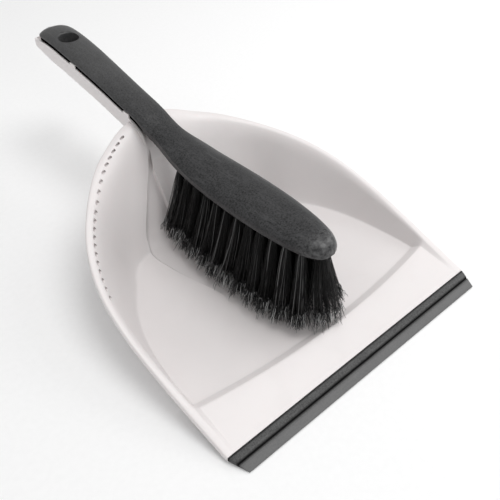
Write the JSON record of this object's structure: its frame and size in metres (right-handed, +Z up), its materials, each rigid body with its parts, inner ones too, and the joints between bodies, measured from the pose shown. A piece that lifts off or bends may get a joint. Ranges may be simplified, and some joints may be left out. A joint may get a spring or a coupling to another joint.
{
  "type": "dustpan and brush",
  "caption": "Wide shallow dustpan with a rubber-edged lip and a hollow handle, and a long hand brush clipped on top of the handle so that its bristles hang in the pan.",
  "frame": {"origin": "under the middle of the whole object, on the plane it stands on", "axes": "+X across the lip, to the right seen from the lip; +Y from the lip to the tip of the handles; +Z up"},
  "size_m": [0.225, 0.3742, 0.1038],
  "materials": {
    "pan_plastic": "satin moulded plastic",
    "lip_rubber": "matt ribbed rubber",
    "brush_plastic": "fine-grained matt",
    "bristle": "split synthetic bristles"
  },
  "bodies": {
    "dustpan": {"dustpan_body": "pan_plastic", "rubber_lip": "lip_rubber"},
    "brush": {"brush_body": "brush_plastic", "tuft_nose": "bristle", "tuft_heel": "bristle", "tuft_outer_left_1": "bristle", "tuft_outer_right_1": "bristle", "tuft_outer_left_2": "bristle", "tuft_outer_right_2": "bristle", "tuft_outer_left_3": "bristle", "tuft_outer_right_3": "bristle", "tuft_outer_left_4": "bristle", "tuft_outer_right_4": "bristle", "tuft_outer_left_5": "bristle", "tuft_outer_right_5": "bristle", "tuft_outer_left_6": "bristle", "tuft_outer_right_6": "bristle", "tuft_outer_left_7": "bristle", "tuft_outer_right_7": "bristle", "tuft_outer_left_8": "bristle", "tuft_outer_right_8": "bristle", "tuft_outer_left_9": "bristle", "tuft_outer_right_9": "bristle", "tuft_outer_left_10": "bristle", "tuft_outer_right_10": "bristle", "tuft_outer_left_11": "bristle", "tuft_outer_right_11": "bristle", "tuft_outer_left_12": "bristle", "tuft_outer_right_12": "bristle", "tuft_inner_left_1": "bristle", "tuft_inner_right_1": "bristle", "tuft_inner_left_2": "bristle", "tuft_inner_right_2": "bristle", "tuft_inner_left_3": "bristle", "tuft_inner_right_3": "bristle", "tuft_inner_left_4": "bristle", "tuft_inner_right_4": "bristle", "tuft_inner_left_5": "bristle", "tuft_inner_right_5": "bristle", "tuft_inner_left_6": "bristle", "tuft_inner_right_6": "bristle", "tuft_inner_left_7": "bristle", "tuft_inner_right_7": "bristle", "tuft_inner_left_8": "bristle", "tuft_inner_right_8": "bristle", "tuft_inner_left_9": "bristle", "tuft_inner_right_9": "bristle", "tuft_inner_left_10": "bristle", "tuft_inner_right_10": "bristle", "tuft_inner_left_11": "bristle", "tuft_inner_right_11": "bristle"}
  },
  "joints": [
    {"name": "brush_lift", "type": "slide", "parent": "dustpan", "child": "brush", "axis": [0, 0, 1], "range_m": [0, 0.12]}
  ]
}
